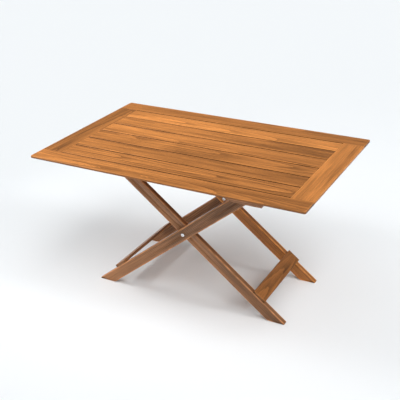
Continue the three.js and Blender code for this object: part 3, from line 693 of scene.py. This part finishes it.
def countersunk(name, x, y, z):
    """A wood screw seen from below: a flush cone head with a six-sided drive, and a pointed shank."""
    head, shank = BATTEN_SCREW_HEAD, BATTEN_SCREW_HEAD * 0.5
    profile = [
        (head * 0.05, 0.45 * head, 6), (head * 0.36, 0.45 * head, 6), (head * 0.38, 0.02 * head, 6),
        (head * 0.9, 0, 0), (head, 0.06 * head, 0), (head * 0.98, 0.14 * head, 0),
        (shank, 0.72 * head, 0), (shank, BATTEN_SCREW_LENGTH - 2 * head, 0),
        (shank * 0.1, BATTEN_SCREW_LENGTH, 0),
    ]
    return turned(name, (x, y, z), Z_AXIS, profile, SCREW_SIDES)


def finish_batten(place, seed):
    node = "batten_" + place
    low, high = box(node)
    levels = plain_levels(low[2], high[2], BATTEN_ARRIS)
    board = stacked_board(node + "_board", low, high, levels, (BOARD_ARRIS,) * 4)
    stand_in_teak(board, node, "top", "teak_underframe", low, high, turn=ALONG_Y, tone=UNDERFRAME_TEAK,
                  seed=seed, gloss=0.55)
    for index, (x, y) in enumerate(batten_screw_places(low, high)):
        screw = countersunk(f"batten_screw_{place}_{index + 1}", x, y, low[2] - BATTEN_SCREW_PROUD)
        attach(finish(screw, SATIN), "top")


def finish_underframe():
    for place, seed in BATTEN_SEEDS.items():
        finish_batten(place, seed)
    for node, seed in BLOCK_SEEDS.items():
        look = teak("teak " + node, tuple(middle(node)), BLOCK_TEAK, seed, gloss=0.5)
        finish(frame["nodes"][node], look)


# ---------- leg frames ----------

# Each leg's fade is painted shade: the leg grows darker along the part of it that gets less light.
LEGS = {
    "leg_outer_front": dict(tone=SMOKED_TEAK, seed=21, pith=(0.02, -0.05), streaks=0.6,
                            fade=(-0.40, 0.35, 0.34)),
    "leg_outer_rear": dict(tone=SMOKED_TEAK, seed=22, pith=(0.05, -0.03), fade=(-0.35, 0.10, 0.30)),
    "leg_inner_front": dict(tone=shade(SMOKED_TEAK, 0.9), seed=23, pith=(-0.03, -0.05), streaks=0.7,
                            fade=(-0.10, 0.40, 0.30)),
    "leg_inner_rear": dict(tone=shade(TEAK, 1.2), seed=24, pith=(0.04, -0.06), streaks=0.8),
}
STRETCHERS = {
    "stretcher_outer": dict(tone=SMOKED_TEAK, seed=26),
    "stretcher_inner": dict(tone=shade(TEAK, 0.6), seed=25, streaks=0.7),
}


def leg_frame(node):
    """A board's leg frame: its body, its slope, which way along X it climbs, and its reach to the top."""
    if "outer" in node:
        return "outer_frame", OUTER_ANGLE, 1, HINGE_REACH
    return "inner_frame", INNER_ANGLE, -1, ROD_REACH


def leg_axes(angle, climbs):
    """Directions up along a leg and square to it, towards its upper edge."""
    along = np.array([climbs * math.cos(angle), 0, math.sin(angle)])
    across = np.array([-climbs * math.sin(angle), 0, math.cos(angle)])
    return along, across


def to_floor(angle, offset):
    """Distance down a leg from its middle pivot to the floor, on a line offset square to the leg."""
    return (PIVOT[2] + offset * math.cos(angle)) / math.sin(angle)


def leg_outline(angle, reach, end):
    """Outline of a leg in (along, across) from its middle pivot: the foot is cut along the floor, the heel
    is a big round, and end is the upper end's radius."""
    half = LEG_WIDTH / 2
    toe, heel = to_floor(angle, half), to_floor(angle, -half)
    corners = [(reach + half, -half), (reach + half, half), (-toe, half), (-heel, -half)]
    return rounded_outline(corners, [end, end, TOE_ROUND, HEEL_ROUND], LEG_CORNER_STEPS)


def stretcher_outline(angle):
    """Section of a stretcher, lying on the legs' upper edges."""
    half = LEG_WIDTH / 2
    far = to_floor(angle, half) - STRETCHER_TOE_GAP
    near = far - STRETCHER_WIDTH
    under = half + FIT
    over = under + STRETCHER_THICKNESS
    corners = [(-near, under), (-near, over), (-far, over), (-far, under)]
    return rounded_outline(corners, [STRETCHER_ARRIS] * 4, STRETCHER_CORNER_STEPS)


def finish_leg(node, look):
    """A leg. The outer frame's upper ends are round and turn on bolts, the inner frame's hold the rod."""
    body, angle, climbs, reach = leg_frame(node)
    outer = body == "outer_frame"
    end = LEG_WIDTH / 2 * ROUND_END if outer else LEG_END_ROUND
    holes = [(0, 0, PIVOT_HOLE), (reach, 0, PIVOT_HOLE if outer else ROD_HOLE)]
    low, high = box(node)
    board = plate(node + "_board", leg_outline(angle, reach, end), low[1], high[1], LEG_ARRIS,
                  *leg_axes(angle, climbs), holes)
    # The legs' arrises are much paler: partly rubbed wear, partly a painted highlight.
    stand_in_teak(board, node, body, "teak_legs", low, high, turn=(0, -climbs * angle, 0), rub=0.85,
                  gloss=0.34, **look)


def finish_stretcher(node, look):
    body, angle, climbs, _ = leg_frame(node)
    low, high = box(node)
    board = plate(node + "_board", stretcher_outline(angle), low[1], high[1], STRETCHER_FACE_ARRIS,
                  *leg_axes(angle, climbs))
    stand_in_teak(board, node, body, "teak_stretchers", low, high, turn=ALONG_Y, **look)


def finish_leg_frames():
    for node, look in LEGS.items():
        finish_leg(node, look)
    for node, look in STRETCHERS.items():
        finish_stretcher(node, look)


# ---------- fittings ----------


def finish_turned(node, seat, axis, profile, body, material, sides=FITTING_SIDES, closed=False):
    """A turned piece in place of its CAD node, on the node's middle line, with distance 0 at y = seat."""
    x, _, z = middle(node)
    piece = turned(node + "_turned", (x, seat, z), axis, profile, sides, closed)
    stand_in(piece, node, body, material)


def finish_bolt(node, side):
    """A domed bolt: up the shank, round the head's flat underside and dome, and down into its six-sided
    socket. side is the way in Y that its head faces."""
    low, high = box(node)
    head, tall, shank, socket = (high[0] - low[0]) / 2, BOLT_HEAD_HEIGHT, BOLT_SHANK, BOLT_SOCKET
    length = high[1] - low[1] - tall
    seat = (low[1] + tall) if side < 0 else (high[1] - tall)
    profile = [
        (shank * 0.8, -length, 0), (shank, 0.8 * MM - length, 0), (shank, -0.1 * MM, 0),
        (shank + 0.2 * MM, 0, 0), (head - 0.2 * MM, 0, 0), (head, 0.3 * MM, 0),
        (head, tall - 1.6 * MM, 0), (head * 0.96, tall - 0.9 * MM, 0), (head * 0.85, tall - 0.35 * MM, 0),
        (head * 0.66, tall - 0.08 * MM, 0), (head * 0.50, tall, 0),
        (socket * 1.12, tall, 0), (socket, tall - 0.25 * MM, 6),
        (socket * 0.98, tall - BOLT_SOCKET_DEPTH, 6), (socket * 0.2, tall - BOLT_SOCKET_DEPTH * 1.1, 0),
    ]
    finish_turned(node, seat, (0, side, 0), profile, "outer_frame", POLISHED)


def finish_nut(node, side):
    """A sleeve nut: out of its head's six-sided socket, round the head, along the sleeve and down its
    bore. side is the way in Y that its sleeve points."""
    low, high = box(node)
    head, tall, sleeve, socket = (high[0] - low[0]) / 2, NUT_HEAD_HEIGHT, NUT_SLEEVE, BOLT_SOCKET
    length = high[1] - low[1] - tall
    seat = (high[1] - tall) if side < 0 else (low[1] + tall)
    socket_floor = -tall + BOLT_SOCKET_DEPTH * 0.8
    profile = [
        (socket * 0.2, socket_floor, 0), (socket, socket_floor, 6), (socket, -tall + 0.2 * MM, 6),
        (socket * 1.12, -tall, 0), (head * 0.6, -tall, 0), (head * 0.86, -tall + 0.25 * MM, 0),
        (head * 0.97, -tall + 0.8 * MM, 0), (head, -tall + 1.5 * MM, 0), (head, -0.2 * MM, 0),
        (head - 0.2 * MM, 0, 0), (sleeve, 0, 0), (sleeve, length - 0.5 * MM, 0),
        (sleeve - 0.5 * MM, length, 0), (SLEEVE_BORE, length, 0), (SLEEVE_BORE, SLEEVE_BORE_END, 0),
        (0.4 * MM, SLEEVE_BORE_END, 0),
    ]
    finish_turned(node, seat, (0, side, 0), profile, "outer_frame", POLISHED)


def finish_washer(node, body, bore):
    """A flat ring, eased at its four edges."""
    low, high = box(node)
    half, ease = (high[1] - low[1]) / 2, WASHER_EASE
    rim = (high[0] - low[0]) / 2
    profile = [
        (bore, ease - half, 0), (bore + ease, -half, 0), (rim - ease, -half, 0), (rim, ease - half, 0),
        (rim, half - ease, 0), (rim - ease, half, 0), (bore + ease, half, 0), (bore, half - ease, 0),
    ]
    finish_turned(node, middle(node)[1], Y_AXIS, profile, body, SATIN, closed=True)


def finish_slide_rod():
    """The rod between the inner legs' upper ends, with a tapped hole in each end."""
    low, high = box("slide_rod")
    radius, half = (high[2] - low[2]) / 2, high[1]
    bore, depth, point, ease = ROD_TAPPING, ROD_TAPPING_DEPTH, DRILL_POINT, ROD_EASE
    profile = [
        (point, depth - half, 0), (bore, depth - half, 0), (bore, -half, 0), (radius - ease, -half, 0),
        (radius, ease - half, 0), (radius, half - ease, 0), (radius - ease, half, 0), (bore, half, 0),
        (bore, half - depth, 0), (point, half - depth, 0),
    ]
    seat = middle("slide_rod")[1]
    finish_turned("slide_rod", seat, Y_AXIS, profile, "inner_frame", POLISHED, ROD_SIDES)


def finish_fittings():
    for label, side in (("front", -1), ("rear", 1)):
        for kind in ("pivot", "hinge"):
            finish_bolt(f"{kind}_bolt_{label}", side)
            finish_nut(f"{kind}_nut_{label}", side)
        finish_washer(f"pivot_washer_{label}", "outer_frame", PIVOT_HOLE)
        finish_washer(f"hinge_washer_{label}", "outer_frame", PIVOT_HOLE)
        finish_washer(f"rod_washer_{label}", "inner_frame", ROD_HOLE)
    finish_slide_rod()
    # Beech has the same fibres, in a paler tone and almost without streaks.
    dowels = teak("beech dowels", (0, 0, 0), BEECH, seed=51, streaks=0.1, gloss=0.6)
    for node, obj in frame["nodes"].items():
        if node.startswith("dowel"):
            finish(obj, dowels)
        if "screw" in node:
            finish(obj, SATIN)


finish_top()
finish_underframe()
finish_leg_frames()
finish_fittings()

# ---------- floor, light and camera ----------

FLOOR_REACH = 30.0
FLOOR_DROP = 0.2 * MM
FLOOR_TONE = (0.835, 0.865, 0.885, 1)
ROOM_TONE = (0.985, 0.99, 1.0, 1)
ROOM_LIGHT = 0.11
BACKDROP_TONE = (0.91, 0.94, 0.96, 1)

# Each sun shines from a point towards the floor under the table's middle. After the point come its
# strength and how many degrees of sky it fills.
SUNS = {
    "key": ((2.3, -2.3, 3.7), 0.72, 35),
    "front fill": ((-0.4, -3.2, 3.0), 0.50, 35),
    "right light": ((2.1, -0.6, 3.8), 1.25, 42),
    "right fill": ((4.6, 0.4, 3.4), 0.75, 16),
    "left fill": ((-4.6, 0, 3.0), 0.45, 35),
    "rear light": ((0.6, 3.2, 2.6), 0.20, 30),
    "overhead": ((0, 0, 4), 0.30, 60),
}
SOFTBOX_PLACE = (-1.35, -0.50, 1.8)
SOFTBOX_AIM = (-0.45, 0, 0.62)
SOFTBOX_SIDE = 0.5
SOFTBOX_POWER = 3.6
SOFTBOX_SPREAD = 80

CAMERA_PLACE = (1.386, -2.586, 1.786)
CAMERA_YAW, CAMERA_PITCH, CAMERA_ROLL = 28.5, 25.5, -1.2  # degrees
LENS = 68  # millimetres, on a sensor SENSOR_WIDTH wide
SENSOR_WIDTH = 36
SIGHT_LIMIT = 200


def pale_floor():
    """A plain pale floor that runs past the horizon."""
    far = FLOOR_REACH
    mesh = bpy.data.meshes.new("floor")
    corners = np.array([(-far, -far, 0), (far, -far, 0), (far, far, 0), (-far, far, 0)])
    mesh.from_pydata(corners - (0, 0, FLOOR_DROP), [], [(0, 1, 2, 3)])
    f = Finish("pale floor")
    f.shader.inputs["Base Color"].default_value = FLOOR_TONE
    f.shader.inputs["Roughness"].default_value = 0.9
    f.shader.inputs["Specular IOR Level"].default_value = 0.0
    mesh.materials.append(f.material)
    in_scene("floor", mesh)


def light_world():
    """An even dim light from all round, behind a backdrop as pale as the floor."""
    world = bpy.data.worlds.new("studio")
    bpy.context.scene.world = world
    world.use_nodes = True
    nodes, links = world.node_tree.nodes, world.node_tree.links
    room = nodes["Background"]
    room.inputs["Color"].default_value = ROOM_TONE
    room.inputs["Strength"].default_value = ROOM_LIGHT
    backdrop = nodes.new("ShaderNodeBackground")
    backdrop.inputs["Color"].default_value = BACKDROP_TONE
    seen, mix = nodes.new("ShaderNodeLightPath"), nodes.new("ShaderNodeMixShader")
    links.new(seen.outputs["Is Camera Ray"], mix.inputs[0])
    links.new(room.outputs[0], mix.inputs[1])
    links.new(backdrop.outputs[0], mix.inputs[2])
    links.new(mix.outputs[0], nodes["World Output"].inputs[0])


def lamp(name, kind, place, aim, power, **settings):
    data = bpy.data.lights.new(name, kind)
    data.energy = power
    for key, value in settings.items():
        setattr(data, key, value)
    obj = in_scene(name, data)
    obj.location = place
    obj.rotation_mode = "QUATERNION"
    obj.rotation_quaternion = (Vector(aim) - Vector(place)).to_track_quat("-Z", "Y")


def lights():
    light_world()
    for name, (place, strength, width) in SUNS.items():
        lamp(name, "SUN", place, (0, 0, 0), strength, angle=math.radians(width))
    lamp("left softbox", "AREA", SOFTBOX_PLACE, SOFTBOX_AIM, SOFTBOX_POWER, shape="RECTANGLE",
         size=SOFTBOX_SIDE, size_y=SOFTBOX_SIDE, spread=math.radians(SOFTBOX_SPREAD))


def camera():
    """The camera looks along its yaw from +Y towards -X and down by its pitch, and is rolled a little."""
    data = bpy.data.cameras.new("camera")
    data.lens = LENS
    data.sensor_width = SENSOR_WIDTH
    data.clip_end = SIGHT_LIMIT
    yaw, pitch, roll = (math.radians(turn) for turn in (CAMERA_YAW, CAMERA_PITCH, CAMERA_ROLL))
    ahead = Vector((-math.sin(yaw) * math.cos(pitch), math.cos(yaw) * math.cos(pitch), -math.sin(pitch)))
    level = Vector((math.cos(yaw), math.sin(yaw), 0))
    upright = level.cross(ahead)
    right = level * math.cos(roll) + upright * math.sin(roll)
    up = upright * math.cos(roll) - level * math.sin(roll)
    turn = Matrix((right, up, -ahead)).transposed().to_4x4()
    obj = in_scene("camera", data)
    obj.matrix_world = Matrix.Translation(CAMERA_PLACE) @ turn
    bpy.context.scene.camera = obj


pale_floor()
lights()
camera()

bpy.context.scene.view_settings.view_transform = "Standard"
